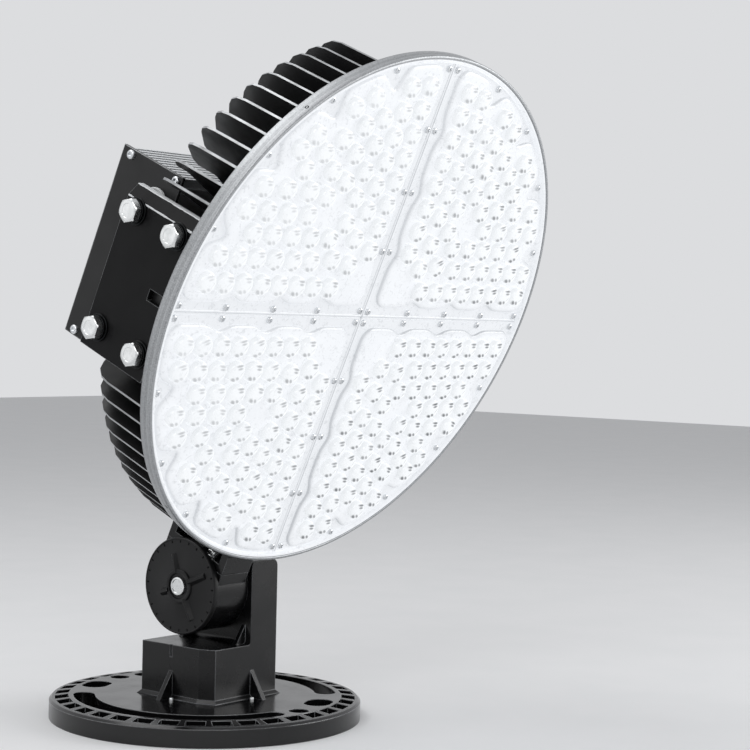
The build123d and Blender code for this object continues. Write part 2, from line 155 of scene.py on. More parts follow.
# Mounting flange. A die-cast aluminium disc in black powder coat, with a pocketed rim band, curved
# slots and bolt holes. It is bolted down and carries all the rest.
def coated(name, body_code, edge_code, edge_mm, least_wear_and_highlight, roughness, specular, peel_mm, peel_height_mm):
    """Coating over metal: colour goes from body to edge code where the rounded normal leaves the true one, in
    patches no weaker than the least share given. The pale edge is partly rubbed wear and partly a painted
    highlight, where edges catch the light. Roughness drifts with the patches, over a bump of orange peel."""
    made, tree, shader, place = finish_of(name)
    rounded = add(tree, "ShaderNodeBevel", {"Radius": edge_mm * mm}, samples=6).outputs[0]
    true = add(tree, "ShaderNodeNewGeometry").outputs["Normal"]
    agree = add(tree, "ShaderNodeVectorMath", {0: rounded, 1: true}, operation="DOT_PRODUCT").outputs["Value"]
    edge = add(tree, "ShaderNodeMapRange", {0: agree, 1: 0.995, 2: 0.85, 3: 0.0, 4: 1.0}).outputs[0]
    patch = add(tree, "ShaderNodeTexNoise", {
        "Vector": place, "Scale": 1 / (28 * mm), "Detail": 4.0}).outputs[0]
    worn_and_lit_patches = add(tree, "ShaderNodeMapRange", {0: patch, 1: 0.4, 2: 0.62, 3: least_wear_and_highlight, 4: 1.0}).outputs[0]
    wear_and_highlight = add(tree, "ShaderNodeMath", {0: edge, 1: worn_and_lit_patches}, operation="MULTIPLY").outputs[0]
    tint = add(tree, "ShaderNodeMix", {
        0: wear_and_highlight, 6: linear(body_code), 7: linear(edge_code)}, data_type="RGBA").outputs[2]
    tree.links.new(tint, shader.inputs["Base Color"])
    gloss = add(tree, "ShaderNodeMapRange", {
        0: patch, 1: 0.3, 2: 0.7, 3: roughness - 0.05, 4: roughness + 0.06}).outputs[0]
    tree.links.new(gloss, shader.inputs["Roughness"])
    peel = add(tree, "ShaderNodeTexNoise", {
        "Vector": place, "Scale": 1 / (peel_mm * mm), "Detail": 2.0}).outputs[0]
    bump = add(tree, "ShaderNodeBump", {
        "Strength": 0.5, "Distance": peel_height_mm * mm, "Height": peel, "Normal": rounded}).outputs[0]
    tree.links.new(bump, shader.inputs["Normal"])
    shader.inputs["Specular IOR Level"].default_value = specular
    return made


def dress(material, *names):
    """Gives CAD nodes one material."""
    for name in names:
        slots = frame["nodes"][name].data.materials
        slots.clear()
        slots.append(material)


# Powder coat that flowed out smooth: near black and glossy, with pale edges that are partly rubbed wear and
# partly painted highlight.
glossy_powder_coat = coated(
    "glossy_black_powder_coat", "#0b0b0c", "#b4b6b8", edge_mm=1.3, least_wear_and_highlight=0.45, roughness=0.18,
    specular=0.5, peel_mm=1.8, peel_height_mm=0.03)
dress(glossy_powder_coat, "mounting_flange")


# Pedestal. One black aluminium casting with an upright cheek, in powder coat like the flange. Small
# zinc-plated socket screws beside its webs hold it down.
def lathe(profile, sides):
    """Rings of a turned shape: each (radius, height) of the profile goes once round the local Z axis."""
    turn = np.arange(sides) / sides * 2 * np.pi
    radius, height = np.array(profile, float).T
    return np.stack([
        np.outer(radius, np.cos(turn)),
        np.outer(radius, np.sin(turn)),
        np.outer(height, np.ones(sides)),
    ], axis=-1)


def skin(rings, loop=False):
    """Closed surface over rings of points: quads join each ring to the next. A looped skin joins the last
    ring to the first, and any other is closed by fans from its two end rings to their mean points."""
    count, around = rings.shape[:2]
    number = np.arange(count * around).reshape(count, around)
    low = number if loop else number[:-1]
    high = np.roll(number, -1, axis=0) if loop else number[1:]
    quads = np.stack([low, np.roll(low, -1, axis=1), np.roll(high, -1, axis=1), high], axis=-1).reshape(-1, 4)
    points = rings.reshape(-1, 3)
    if loop:
        return points, quads, np.empty((0, 3), int)
    first = np.stack([np.roll(number[0], -1), number[0], np.full(around, len(points))], axis=-1)
    last = np.stack([number[-1], np.roll(number[-1], -1), np.full(around, len(points) + 1)], axis=-1)
    return np.vstack([points, rings[[0, -1]].mean(axis=1)]), quads, np.vstack([first, last])


def copies(shape, places):
    """The same shape at each place: the place is added to its points, and its faces are numbered on."""
    points, quads, fans = shape
    places = np.asarray(places, float)
    step = np.arange(len(places))[:, None, None] * len(points)
    return (
        (points + places[:, None]).reshape(-1, 3),
        (quads + step).reshape(-1, 4),
        (fans + step).reshape(-1, 3),
    )


def seated(shape, origin, across, up):
    """Carries local millimetres to the row's frame in metres: origin + x across + y up + z (across x up)."""
    axes = np.array([across, up, np.cross(across, up)], float)
    return (np.asarray(origin, float) + shape[0] @ axes) * mm, shape[1], shape[2]


def make(name, shape, material, body, slot, *nodes, smooth_to=35):
    """Object of one closed mesh, smooth up to an angle, that rides on a body and stands for the nodes."""
    points, quads, fans = shape
    mesh = bpy.data.meshes.new(name)
    mesh.from_pydata(points.tolist(), [], quads.tolist() + fans.tolist())
    turned = bmesh.new()
    turned.from_mesh(mesh)
    bmesh.ops.recalc_face_normals(turned, faces=turned.faces)
    turned.to_mesh(mesh)
    turned.free()
    mesh.shade_smooth()
    mesh.set_sharp_from_angle(angle=np.radians(smooth_to))
    mesh.materials.append(material)
    piece = bpy.data.objects.new(name, mesh)
    scene.collection.objects.link(piece)
    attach(piece, body)
    if nodes:
        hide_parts(*nodes)
    return piece


def plated(name, bright_code, dull_code, roughness, cloud_mm):
    """Bare or plated metal: colour and roughness drift between two values in soft clouds, over a grain."""
    made, tree, shader, place = finish_of(name)
    cloud = add(tree, "ShaderNodeTexNoise", {
        "Vector": place, "Scale": 1 / (cloud_mm * mm), "Detail": 5.0}).outputs[0]
    tint = add(tree, "ShaderNodeMix", {
        0: cloud, 6: linear(bright_code), 7: linear(dull_code)}, data_type="RGBA").outputs[2]
    tree.links.new(tint, shader.inputs["Base Color"])
    gloss = add(tree, "ShaderNodeMapRange", {
        0: cloud, 1: 0.3, 2: 0.7, 3: roughness - 0.06, 4: roughness + 0.1}).outputs[0]
    tree.links.new(gloss, shader.inputs["Roughness"])
    # The metal's grain is under 0.1 mm, too fine to show here, so it is drawn at 0.7 mm.
    grain = add(tree, "ShaderNodeTexNoise", {
        "Vector": place, "Scale": 1 / (0.7 * mm), "Detail": 2.0}).outputs[0]
    bump = add(tree, "ShaderNodeBump", {"Strength": 0.35, "Distance": 0.03 * mm, "Height": grain}).outputs[0]
    tree.links.new(bump, shader.inputs["Normal"])
    shader.inputs["Metallic"].default_value = 1.0
    return made


# Powder coat on a rougher casting: near black with a soft gloss, a faint orange peel and grey edges that are
# partly rubbed wear and partly painted highlight.
black_powder_coat = coated(
    "black_powder_coat", "#0d0d0e", "#85878a", edge_mm=1.4, least_wear_and_highlight=0.12, roughness=0.25,
    specular=0.35, peel_mm=1.8, peel_height_mm=0.03)
dress(black_powder_coat, "pedestal")
# Bright zinc plate: pale silver that mirrors the room softly, in cloudy patches.
zinc_plated_steel = plated("zinc_plated_steel", "#f1f2f2", "#d0d2d2", roughness=0.24, cloud_mm=6)
web_foot = 21.8
foot_screw_places = [(8, -54, web_foot), (-50, -2, web_foot), (8, 54, web_foot), (58, -2, web_foot)]
socket_screw = [(2.4, 0), (2.4, 1.6), (2.2, 2.2), (1.8, 2.5), (1.2, 2.5), (1.1, 1.2)]
foot_screws = copies(skin(lathe(socket_screw, 16)), foot_screw_places)
make(
    "pedestal_foot_screws", seated(foot_screws, (0, 0, 0), (1, 0, 0), (0, 1, 0)), zinc_plated_steel,
    "base", "zinc_steel")

# Tilt arm. The knuckle's cast aluminium barrel with a flat-topped lug, in the same black coat as the
# pedestal. It turns on the pivot bolt and carries the head.
dress(black_powder_coat, "tilt_arm")

# Angle dial. A black glass-filled nylon moulding on the barrel's end, with a raised hub, four tapered
# gable spokes and a ring of short raised ticks. The bolt's head stands in the hub's recess.
pivot = np.array(frame["joints"][0]["pos_m"]) / mm
dial_back = -30.0
dial_radius, dial_face = 47.5, 5.5
hub_radius = 16.6
dial_profile = [
    (dial_radius - 0.6, 0), (dial_radius, 0.6), (dial_radius, 4.6), (dial_radius - 0.4, 5.5),
    (dial_radius - 1.2, 6.0), (45.9, 6.0), (45.5, 5.8), (45.3, dial_face), (hub_radius + 0.7, dial_face),
    (hub_radius + 0.2, 5.8), (hub_radius, 7.4), (hub_radius - 0.4, 8.0), (hub_radius - 1.0, 8.2),
    (13.4, 8.2), (12.8, 7.9), (12.5, 7.2), (12.3, 6.4), (9.8, 6.2),
]
spoke_angles = (21, 106, 199, 298)
spoke_tips = (36, 32, 26.5, 36)
spoke_root = hub_radius - 2.5
tick_angles = range(0, 360, 15)
tick_inner, tick_outer, tick_half, tick_top = 42.2, 44.8, 0.7, dial_face + 0.3
sunk = 0.4


def spoked(along, across, height, angle):
    """Skin of a bar that points out from the dial's centre: its length and width are turned by the angle."""
    c, s = np.cos(np.radians(angle)), np.sin(np.radians(angle))
    return skin(np.stack([along * c - across * s, along * s + across * c, height], axis=-1))


def gable(angle, tip):
    """Tapered bar from inside the hub to its tip: five rings of six points, lower and narrower outwards."""
    share = np.linspace(0, 1, 5)
    reach = spoke_root + share * (tip - spoke_root)
    half = 4.9 - 0.9 * share
    ridge = 4.0 - 1.9 * share
    sides = np.array([-1, -0.25, 0.25, 1, 0.9, -0.9])
    rise = np.array([0, 1, 1, 0, 0, 0])
    fall = np.array([0, 0, 0, 0, sunk, sunk])
    height = dial_face - sunk + np.outer(ridge + sunk, rise) - fall
    return spoked(np.outer(reach, np.ones(6)), np.outer(half, sides), height, angle)


def tick(angle):
    """Short raised bar along a radius: three rings of four points, the last one inset as a bevel."""
    inset = np.array([0, 0, 0.3])[:, None]
    along = np.array([tick_inner, tick_outer, tick_outer, tick_inner]) + inset * np.array([1, -1, -1, 1])
    across = np.array([-tick_half, -tick_half, tick_half, tick_half]) + inset * np.array([1, 1, -1, -1])
    height = np.outer([dial_face - sunk, tick_top - 0.2, tick_top], np.ones(4))
    return spoked(along, across, height, angle)


def joined(*shapes):
    """One mesh of several shapes: each one's faces are numbered on from the points before it."""
    starts = np.cumsum([0] + [len(shape[0]) for shape in shapes])
    return (
        np.vstack([shape[0] for shape in shapes]),
        np.vstack([shape[1] + start for shape, start in zip(shapes, starts)]),
        np.vstack([shape[2] + start for shape, start in zip(shapes, starts)]),
    )


spokes = [gable(angle, tip) for angle, tip in zip(spoke_angles, spoke_tips)]
ticks = [tick(angle) for angle in tick_angles]

# Glass-filled nylon comes out of its mould with a fine matt grain: near black, with a dull uneven sheen.
black_nylon, tree, shader, place = finish_of("glass_filled_black_nylon")
cloud = add(tree, "ShaderNodeTexNoise", {"Vector": place, "Scale": 1 / (17 * mm), "Detail": 3.0}).outputs[0]
tint = add(tree, "ShaderNodeMix", {
    0: cloud, 6: linear("#0b0b0c"), 7: linear("#141415")}, data_type="RGBA").outputs[2]
tree.links.new(tint, shader.inputs["Base Color"])
gloss = add(tree, "ShaderNodeMapRange", {0: cloud, 1: 0.3, 2: 0.7, 3: 0.38, 4: 0.5}).outputs[0]
tree.links.new(gloss, shader.inputs["Roughness"])
# The fibre grain is about 0.3 mm, too fine to show here, so it is drawn at 1.1 mm.
fibre = add(tree, "ShaderNodeTexNoise", {"Vector": place, "Scale": 1 / (1.1 * mm), "Detail": 3.0}).outputs[0]
bump = add(tree, "ShaderNodeBump", {"Strength": 0.4, "Distance": 0.05 * mm, "Height": fibre}).outputs[0]
tree.links.new(bump, shader.inputs["Normal"])
shader.inputs["Specular IOR Level"].default_value = 0.3
dial_seat = ((dial_back, pivot[1], pivot[2]), (0, -1, 0), (0, 0, 1))
dial = joined(skin(lathe(dial_profile, 96)), *spokes)
make("dial_disc", seated(dial, *dial_seat), black_nylon, "head", "black_plastic", "angle_dial")
# The ticks are painted a matt near black: painted shade, as in engraved notches, so they show as dull marks
# on the moulding's sheen.
tick_shade_paint, tree, shader, place = finish_of("painted_tick_shade")
shade_speckle = add(tree, "ShaderNodeTexNoise", {"Vector": place, "Scale": 1 / (2 * mm), "Detail": 2.0}).outputs[0]
tint = add(tree, "ShaderNodeMix", {
    0: shade_speckle, 6: linear("#020202"), 7: linear("#050505")}, data_type="RGBA").outputs[2]
tree.links.new(tint, shader.inputs["Base Color"])
shader.inputs["Roughness"].default_value = 0.8
shader.inputs["Specular IOR Level"].default_value = 0.1
make("dial_ticks", seated(joined(*ticks), *dial_seat), tick_shade_paint, "head", "black_plastic")


# Pivot bolt and nut. A zinc-plated shoulder bolt with a round dished head in the dial's hub, and a
# chamfered hex nut on a flat washer against the cheek.
def hexed(profile, width, sides=48):
    """Lathe rings cut back to a hexagon: at the angle t its radius is width / 2 / cos(t folded to a flat)."""
    rings = lathe(profile, sides)
    turn = np.arange(sides) / sides * 2 * np.pi
    flat = width / 2 / np.cos((turn + np.pi / 6) % (np.pi / 3) - np.pi / 6)
    rings[..., :2] *= np.minimum(1, flat / np.array(profile, float)[:, :1])[..., None]
    return rings


def chamfered(width, low, high):
    """Profile of a hex with its corners turned down at both faces, for hexed."""
    half = width / 2
    return [
        (0.96 * half, low), (1.06 * half, low + 0.07 * half), (1.16 * half, low + 0.16 * half),
        (1.16 * half, high - 0.13 * half), (1.05 * half, high - 0.06 * half),
        (0.96 * half, high - 0.01 * half), (0.93 * half, high),
    ]


bolt_end, cheek_face = 66.5, 50.5
bolt_tip = dial_back - bolt_end
bolt_profile = [
    (7.4, bolt_tip), (7.7, bolt_tip + 0.8), (7.7, 6.6), (9.0, 6.6), (9.0, 8.2), (8.7, 8.9), (8.1, 9.2),
    (7.0, 9.2), (6.7, 8.9), (6.6, 8.5), (2.4, 8.3),
]
make(
    "pivot_shoulder_bolt", seated(skin(lathe(bolt_profile, 40)), *dial_seat), zinc_plated_steel,
    "base", "zinc_steel", "pivot_bolt")
nut_seat = ((cheek_face, pivot[1], pivot[2]), (0, 1, 0), (0, 0, 1))
nut_width = 24
washer_loop = [(8.2, 0.3), (8.5, 0), (17.7, 0), (18, 0.3), (18, 2.7), (17.7, 3), (8.5, 3), (8.2, 2.7)]
nut_loop = [(7.9, 4.0), (8.6, 3.1)] + chamfered(nut_width, 3.0, 15.8) + [(8.6, 15.7), (7.9, 14.8)]
nut = joined(skin(lathe(washer_loop, 48), loop=True), skin(hexed(nut_loop, nut_width), loop=True))
make(
    "pivot_hex_nut", seated(nut, *nut_seat), zinc_plated_steel, "base", "zinc_steel", "pivot_nut",
    smooth_to=20)

# Head foot. A black I-section casting between the knuckle and the heat sink, held down by four
# zinc-plated hex screws that stand in its recesses. The head leans 24 degrees forward at rest.
head_tilt = np.radians(24.14)
across = np.array((1.0, 0, 0))
head_up = np.array((0, -np.sin(head_tilt), np.cos(head_tilt)))
lens_normal = np.cross(across, head_up)
lens_rise, lens_reach = 320.3, 69.1
lens_centre = pivot + lens_rise * head_up + lens_reach * lens_normal
on_head = (lens_centre, across, head_up)
foot_middle, foot_wall, foot_bolt_row = -11.0, -278.3, -63.1


def hex_bolt(width, height, washer_radius, washer_height):
    """Hex head with a dished top on a round washer, standing on the local Z axis."""
    rim, top = washer_radius, washer_height
    washer = [(rim - 0.3, 0), (rim, 0.3), (rim, top - 0.3), (rim - 0.3, top), (width / 2.4, top)]
    dish = [(0.62 * width / 2, height), (0.58 * width / 2, height - 0.35)]
    return joined(skin(lathe(washer, 32)), skin(hexed(chamfered(width, top, height) + dish, width)))


dress(black_powder_coat, "head_foot")
bolt_spots = [(x, y, 0) for x in (-11.5, 11.5) for y in (-10, 10)]
foot_bolts = copies(hex_bolt(width=11.6, height=6.4, washer_radius=6.0, washer_height=1.2), bolt_spots)
foot_seat = lens_centre + foot_middle * across + foot_wall * head_up + foot_bolt_row * lens_normal
make(
    "foot_hex_screws", seated(foot_bolts, foot_seat, across, -lens_normal), zinc_plated_steel,
    "head", "zinc_steel", "foot_bolts")

# Heat sink. A plate and hub with thin pressed aluminium fins, dipped black as one piece. The fins' thin edges
# are pale: partly coat sheared off, partly painted highlight.
head_turn = np.arctan2(-np.cos(head_tilt), -np.sin(head_tilt))
sink_hub, sink_plate, plate_back, pad_slope = 86, 229, -22, 0.34


def to_head(tree, place):
    """Object coordinates turned into the head's own millimetres: across, up the lens and out of it."""
    start = -np.array([lens_centre @ across, lens_centre @ head_up, lens_centre @ lens_normal])
    return add(tree, "ShaderNodeMapping", {
        "Vector": place, "Scale": (1 / mm,) * 3, "Rotation": (head_turn, 0, 0), "Location": start}).outputs[0]


def round_lens(tree, spot):
    """Splits a point of the head into its axes, its flat offset from the lens's axis and that length."""
    axes = add(tree, "ShaderNodeSeparateXYZ", {0: spot}).outputs
    offset = add(tree, "ShaderNodeCombineXYZ", {0: axes[0], 1: axes[1]}).outputs[0]
    reach = add(tree, "ShaderNodeVectorMath", {0: offset}, operation="LENGTH").outputs["Value"]
    return axes, offset, reach


# Black dip on pressed aluminium: a thin soft black on the fins' broad sides, and pale bare metal on their
# thin edges, which is partly sheared coat and partly painted highlight where the edges catch the light. An
# edge is where the face looks along the fin, past the hub and off plate and pads.
dipped_fins, tree, shader, place = finish_of("black_dipped_aluminium_fins")
spot = to_head(tree, place)
axes, offset, reach = round_lens(tree, spot)
facing = add(tree, "ShaderNodeTexCoord").outputs["Normal"]
facing = add(tree, "ShaderNodeMapping", {
    "Vector": facing, "Rotation": (head_turn, 0, 0)}, vector_type="VECTOR").outputs[0]
outward = add(tree, "ShaderNodeVectorMath", {0: offset}, operation="NORMALIZE").outputs[0]
sideways = add(tree, "ShaderNodeVectorMath", {0: outward, 1: (0, 0, 1)}, operation="CROSS_PRODUCT").outputs[0]
broad = add(tree, "ShaderNodeVectorMath", {0: facing, 1: sideways}, operation="DOT_PRODUCT").outputs["Value"]
broad = add(tree, "ShaderNodeMath", {0: broad}, operation="ABSOLUTE").outputs[0]
thin = add(tree, "ShaderNodeMath", {0: broad, 1: 0.5}, operation="LESS_THAN").outputs[0]
past_hub = add(tree, "ShaderNodeMath", {0: reach, 1: sink_hub}, operation="GREATER_THAN").outputs[0]
past_plate = add(tree, "ShaderNodeMath", {0: reach, 1: sink_plate}, operation="GREATER_THAN").outputs[0]
behind_plate = add(tree, "ShaderNodeMath", {0: axes[2], 1: plate_back}, operation="LESS_THAN").outputs[0]
off_plate = add(tree, "ShaderNodeMath", {0: past_plate, 1: behind_plate}, operation="MAXIMUM").outputs[0]
steep = add(tree, "ShaderNodeMath", {0: axes[0]}, operation="ABSOLUTE").outputs[0]
steep = add(tree, "ShaderNodeMath", {0: steep, 1: pad_slope}, operation="MULTIPLY").outputs[0]
height = add(tree, "ShaderNodeMath", {0: axes[1]}, operation="ABSOLUTE").outputs[0]
off_pads = add(tree, "ShaderNodeMath", {0: height, 1: steep}, operation="GREATER_THAN").outputs[0]
cloud = add(tree, "ShaderNodeTexNoise", {"Vector": spot, "Scale": 1 / 16, "Detail": 4.0}).outputs[0]
kept = add(tree, "ShaderNodeMapRange", {0: cloud, 1: 0.25, 2: 0.6, 3: 0.55, 4: 1.0}).outputs[0]
bare_and_highlit = thin
for share in (past_hub, off_plate, off_pads, kept):
    bare_and_highlit = add(tree, "ShaderNodeMath", {0: bare_and_highlit, 1: share}, operation="MULTIPLY").outputs[0]
tint = add(tree, "ShaderNodeMix", {
    0: bare_and_highlit, 6: linear("#101011"), 7: linear("#b9bbbd")}, data_type="RGBA").outputs[2]
tree.links.new(tint, shader.inputs["Base Color"])
tree.links.new(bare_and_highlit, shader.inputs["Metallic"])
gloss = add(tree, "ShaderNodeMapRange", {0: cloud, 1: 0.3, 2: 0.7, 3: 0.38, 4: 0.5}).outputs[0]
tree.links.new(gloss, shader.inputs["Roughness"])
dip = add(tree, "ShaderNodeTexNoise", {"Vector": spot, "Scale": 1 / 2.5, "Detail": 2.0}).outputs[0]
bump = add(tree, "ShaderNodeBump", {"Strength": 0.3, "Distance": 0.05 * mm, "Height": dip}).outputs[0]
tree.links.new(bump, shader.inputs["Normal"])
dress(dipped_fins, "heat_sink")

# Bezel. A turned and bead-blasted aluminium ring, which clamps the lens to the heat sink. Four small
# set screws lie flush in its wall.
bezel_loop = [
    (250.4, -11), (253.3, -11), (253.8, -10.8), (254, -10.2), (254, 0.6), (253.8, 1.3), (253.3, 1.8),
    (252.6, 2.0), (251.6, 2.0), (251.1, 1.9), (250.8, 1.6), (250.7, 1.0), (250.6, 0.1), (250.4, -4.0),
]
set_screw_angles = (47.6, 132.4, 227.6, 312.4)
set_screw_reach, set_screw_depth = 253.9, -2.5
# Blasting leaves aluminium a grainy grey satin with no glare, over faint rings from the turning.
satin_aluminium, tree, shader, place = finish_of("bead_blasted_aluminium")
spot = to_head(tree, place)
axes, offset, reach = round_lens(tree, spot)
section = add(tree, "ShaderNodeCombineXYZ", {0: reach, 1: axes[2]}).outputs[0]
# Turning rings and blast grit are about 0.2 mm, too fine to show here, so they are drawn at 0.8 and 1.1 mm.
groove = add(tree, "ShaderNodeTexNoise", {"Vector": section, "Scale": 1 / 0.8, "Detail": 3.0}).outputs[0]
grit = add(tree, "ShaderNodeTexNoise", {"Vector": spot, "Scale": 1 / 1.1, "Detail": 3.0}).outputs[0]
grit = add(tree, "ShaderNodeMath", {0: groove, 1: grit}, operation="ADD").outputs[0]
grit = add(tree, "ShaderNodeMapRange", {0: grit, 1: 0.75, 2: 1.25, 3: 0.0, 4: 1.0}).outputs[0]
tint = add(tree, "ShaderNodeMix", {
    0: grit, 6: linear("#b9bbbd"), 7: linear("#8a8c8e")}, data_type="RGBA").outputs[2]
tree.links.new(tint, shader.inputs["Base Color"])
cloud = add(tree, "ShaderNodeTexNoise", {"Vector": spot, "Scale": 1 / 40, "Detail": 3.0}).outputs[0]
gloss = add(tree, "ShaderNodeMapRange", {0: cloud, 1: 0.3, 2: 0.7, 3: 0.4, 4: 0.52}).outputs[0]
tree.links.new(gloss, shader.inputs["Roughness"])
bump = add(tree, "ShaderNodeBump", {"Strength": 0.3, "Distance": 0.05 * mm, "Height": grit}).outputs[0]
tree.links.new(bump, shader.inputs["Normal"])
shader.inputs["Metallic"].default_value = 1.0
make(
    "bezel_turned_ring", seated(skin(lathe(bezel_loop, 256), loop=True), *on_head), satin_aluminium,
    "head", "satin_aluminium", "bezel_ring")
set_screw = skin(lathe([(1.9, -2), (1.9, 0.1), (1.6, 0.2), (1.0, 0.2), (0.9, -0.6)], 12))
set_screws = []
for turn in np.radians(set_screw_angles):
    outward = np.cos(turn) * across + np.sin(turn) * head_up
    seat = lens_centre + set_screw_reach * outward + set_screw_depth * lens_normal
    set_screws.append(seated(set_screw, seat, lens_normal, np.cross(outward, lens_normal)))
# Black oxide on steel: a thin black skin that keeps a dark metal sheen. On the bracket washers its dark also
# stands for painted shade under the bolt heads.
dark_steel = plated("black_oxide_steel_and_shade", "#2c2d2e", "#1d1e1f", roughness=0.4, cloud_mm=5)
make("bezel_set_screws", joined(*set_screws), dark_steel, "head", "zinc_steel")

# Light board. An aluminium-backed board, clamped between heat sink and lens, white on its front and
# black anodised behind. It shows only at the lens's edge and between the fins' roots.

# White solder mask is a thin printed lacquer: off-white, faintly specked, with a soft gloss.
solder_mask, tree, shader, place = finish_of("white_solder_mask")
speck = add(tree, "ShaderNodeTexNoise", {"Vector": place, "Scale": 1 / (3 * mm), "Detail": 3.0}).outputs[0]
tint = add(tree, "ShaderNodeMix", {
    0: speck, 6: linear("#c9cbcd"), 7: linear("#d4d6d7")}, data_type="RGBA").outputs[2]
facing = add(tree, "ShaderNodeTexCoord").outputs["Normal"]
ahead = add(tree, "ShaderNodeVectorMath", {
    0: facing, 1: tuple(lens_normal)}, operation="DOT_PRODUCT").outputs["Value"]
rear = add(tree, "ShaderNodeMath", {0: ahead, 1: 0.5}, operation="LESS_THAN").outputs[0]
tint = add(tree, "ShaderNodeMix", {0: rear, 6: tint, 7: linear("#121213")}, data_type="RGBA").outputs[2]
tree.links.new(tint, shader.inputs["Base Color"])
shader.inputs["Roughness"].default_value = 0.4
dress(solder_mask, "light_board")


# Lens. Four quarter mouldings of clear polycarbonate over the lit board. Each has a thin flange that
# meets its neighbours on the centre lines, a raised field with notches for the screws, and domed beads.
def quarter(edge, rim, corner, bump_depth, bump_places, notch_depth, notch_angles, bend):
    """Closed outline of one quarter in the plane: a straight edge along each arm, pushed in by a bell curve
    at each bump place, a rim arc pulled in by a bell curve at each notch angle, and round corners."""
    hub = edge + corner
    far = np.sqrt((rim - corner) ** 2 - hub ** 2)
    along = np.linspace(hub, far, 150)
    inset = edge + bump_depth * np.exp(-((along[:, None] - np.array(bump_places)) / bend) ** 2).sum(axis=1)
    lean = np.arctan2(hub, far)
    outer = np.linspace(-np.pi / 2, lean, 14)[1:-1]
    turn = np.linspace(lean, np.pi / 2 - lean, 160)
    gaps = (turn[:, None] - np.radians(notch_angles)) * rim / bend
    radius = rim - notch_depth * np.exp(-gaps ** 2).sum(axis=1)
    inner = np.linspace(np.pi, 1.5 * np.pi, 12)[1:-1]
    lower = np.stack([along, inset], axis=-1)
    lower_corner = np.stack([far + corner * np.cos(outer), hub + corner * np.sin(outer)], axis=-1)
    arc = np.stack([radius * np.cos(turn), radius * np.sin(turn)], axis=-1)
    hub_corner = hub + corner * np.stack([np.cos(inner), np.sin(inner)], axis=-1)
    return np.vstack([lower, lower_corner, arc, lower_corner[::-1, ::-1], lower[::-1, ::-1], hub_corner])


def raised(outline, insets, heights):
    """Rings over an outline: each is moved in along the outline's own normal and set at its height."""
    ahead = np.roll(outline, -1, axis=0) - np.roll(outline, 1, axis=0)
    ahead /= np.linalg.norm(ahead, axis=1, keepdims=True)
    inward = np.stack([-ahead[:, 1], ahead[:, 0]], axis=-1)
    flat = outline + np.array(insets, float)[:, None, None] * inward
    level = np.broadcast_to(np.array(heights, float)[:, None, None], (*flat.shape[:2], 1))
    return np.concatenate([flat, level], axis=-1)


def quarter_turn(turns):
    """Matrix that turns rows of points about the lens's axis by whole quarter turns."""
    c, s = [(1, 0), (0, 1), (-1, 0), (0, -1)][turns]
    return np.array([(c, s, 0), (-s, c, 0), (0, 0, 1)], float)


def spun(shape, turns):
    """Turns a shape about the lens's axis by whole quarter turns."""
    return shape[0] @ quarter_turn(turns), shape[1], shape[2]


def by_ring(values, outline):
    """One number per point of a closed skin: each ring's own value, then the two end points'."""
    return np.concatenate([np.repeat(values, len(outline)), [values[0], values[-1]]])


def tagged(piece, name, values):
    """Writes one number per point of a piece, for its material to read."""
    layer = piece.data.attributes.new(name, "FLOAT", "POINT")
    layer.data.foreach_set("value", np.asarray(values, np.float32))


def dimmed(places):
    """Share of a mark's full strength, as painted light: it rises to the lower right and fades to the upper
    left, which is painted as washed out by light.
    """
    return np.clip(0.68 + (places[:, 0] - 0.6 * places[:, 1]) / 650, 0.35, 1.0)


def lit(name, body_code, flow_code, refraction_shade):
    """Clear plastic over lit diodes: self-lit and pale, with faint moulding flow lines and a gloss. Small
    grey patches are painted shade from refraction. A curved wall bends the view off the lit board, so grey is
    painted as shade where the attribute line says so."""
    made, tree, shader, place = finish_of(name)
    spot = to_head(tree, place)
    flow = add(tree, "ShaderNodeTexNoise", {
        "Vector": spot, "Scale": 1 / 45, "Detail": 4.0, "Distortion": 0.6}).outputs[0]
    tint = add(tree, "ShaderNodeMix", {
        0: flow, 6: linear(body_code), 7: linear(flow_code)}, data_type="RGBA").outputs[2]
    refraction_patches = add(tree, "ShaderNodeTexNoise", {
        "Vector": spot, "Scale": 1 / 5, "Detail": 3.0, "Distortion": 1.6}).outputs[0]
    refraction_patches = add(tree, "ShaderNodeMapRange", {0: refraction_patches, 1: 0.55, 2: 0.7, 3: 0.0, 4: refraction_shade}).outputs[0]
    line = add(tree, "ShaderNodeAttribute", attribute_name="line").outputs["Fac"]
    for share in (refraction_patches, line):
        tint = add(tree, "ShaderNodeMix", {
            0: share, 6: tint, 7: linear("#8a8e93")}, data_type="RGBA").outputs[2]
    ripple = add(tree, "ShaderNodeTexNoise", {"Vector": spot, "Scale": 1 / 6, "Detail": 2.0}).outputs[0]
    bump = add(tree, "ShaderNodeBump", {"Strength": 0.2, "Distance": 0.05 * mm, "Height": ripple}).outputs[0]
    tree.links.new(bump, shader.inputs["Normal"])
    shader.inputs["Emission Strength"].default_value = 0.765
    shader.inputs["Roughness"].default_value = 0.2
    shader.inputs["IOR"].default_value = 1.58
    return made, tree, shader, tint


def lit_from(tree, shader, tint):
    """Links one tint to the plastic's glow, and under half of it to its colour, since most of it is clear."""
    clear = add(tree, "ShaderNodeMix", {
        0: 1.0, 6: tint, 7: (0.4, 0.4, 0.4, 1)}, data_type="RGBA", blend_type="MULTIPLY").outputs[2]
    tree.links.new(clear, shader.inputs["Base Color"])
    tree.links.new(tint, shader.inputs["Emission Color"])


